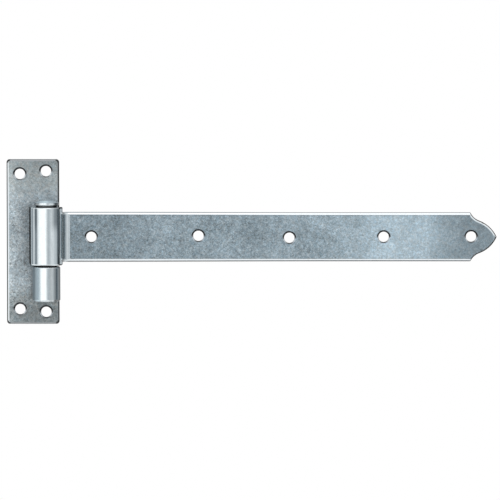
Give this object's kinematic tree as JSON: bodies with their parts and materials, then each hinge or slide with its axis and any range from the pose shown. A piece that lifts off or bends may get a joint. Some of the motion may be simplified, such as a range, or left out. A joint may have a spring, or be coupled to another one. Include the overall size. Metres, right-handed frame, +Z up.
{
  "type": "hook and band hinge",
  "caption": "Zinc-plated hook and band hinge: a long spear-ended strap whose rolled eye turns on a headed pin held in the rolled knuckle of a small screw plate.",
  "frame": {"origin": "the middle of the hook plate's back face, where the plate meets the post", "axes": "+Z up along the pin, +Y into the post and the door, +X from the hook plate towards the spear end of the closed band"},
  "size_m": [0.3265, 0.0247, 0.11],
  "materials": {
    "plate_zinc": "zinc-plated steel sheet, cloudy grey on its flat faces and bright on its rolled knuckle",
    "pin_zinc": "zinc-plated turned steel, smooth and bright",
    "band_zinc": "zinc-plated steel bar, finely mottled blue grey on its flat faces and bright on its rolled eye and edges"
  },
  "bodies": {
    "hook": {"hook_plate": "plate_zinc", "hook_pin": "pin_zinc"},
    "band": {"band": "band_zinc"}
  },
  "joints": [
    {"name": "band_swing", "type": "hinge", "parent": "hook", "child": "band", "pos_m": [0.0095, -0.0139, 0], "axis": [0, 0, -1], "range_deg": [0, 180]}
  ]
}
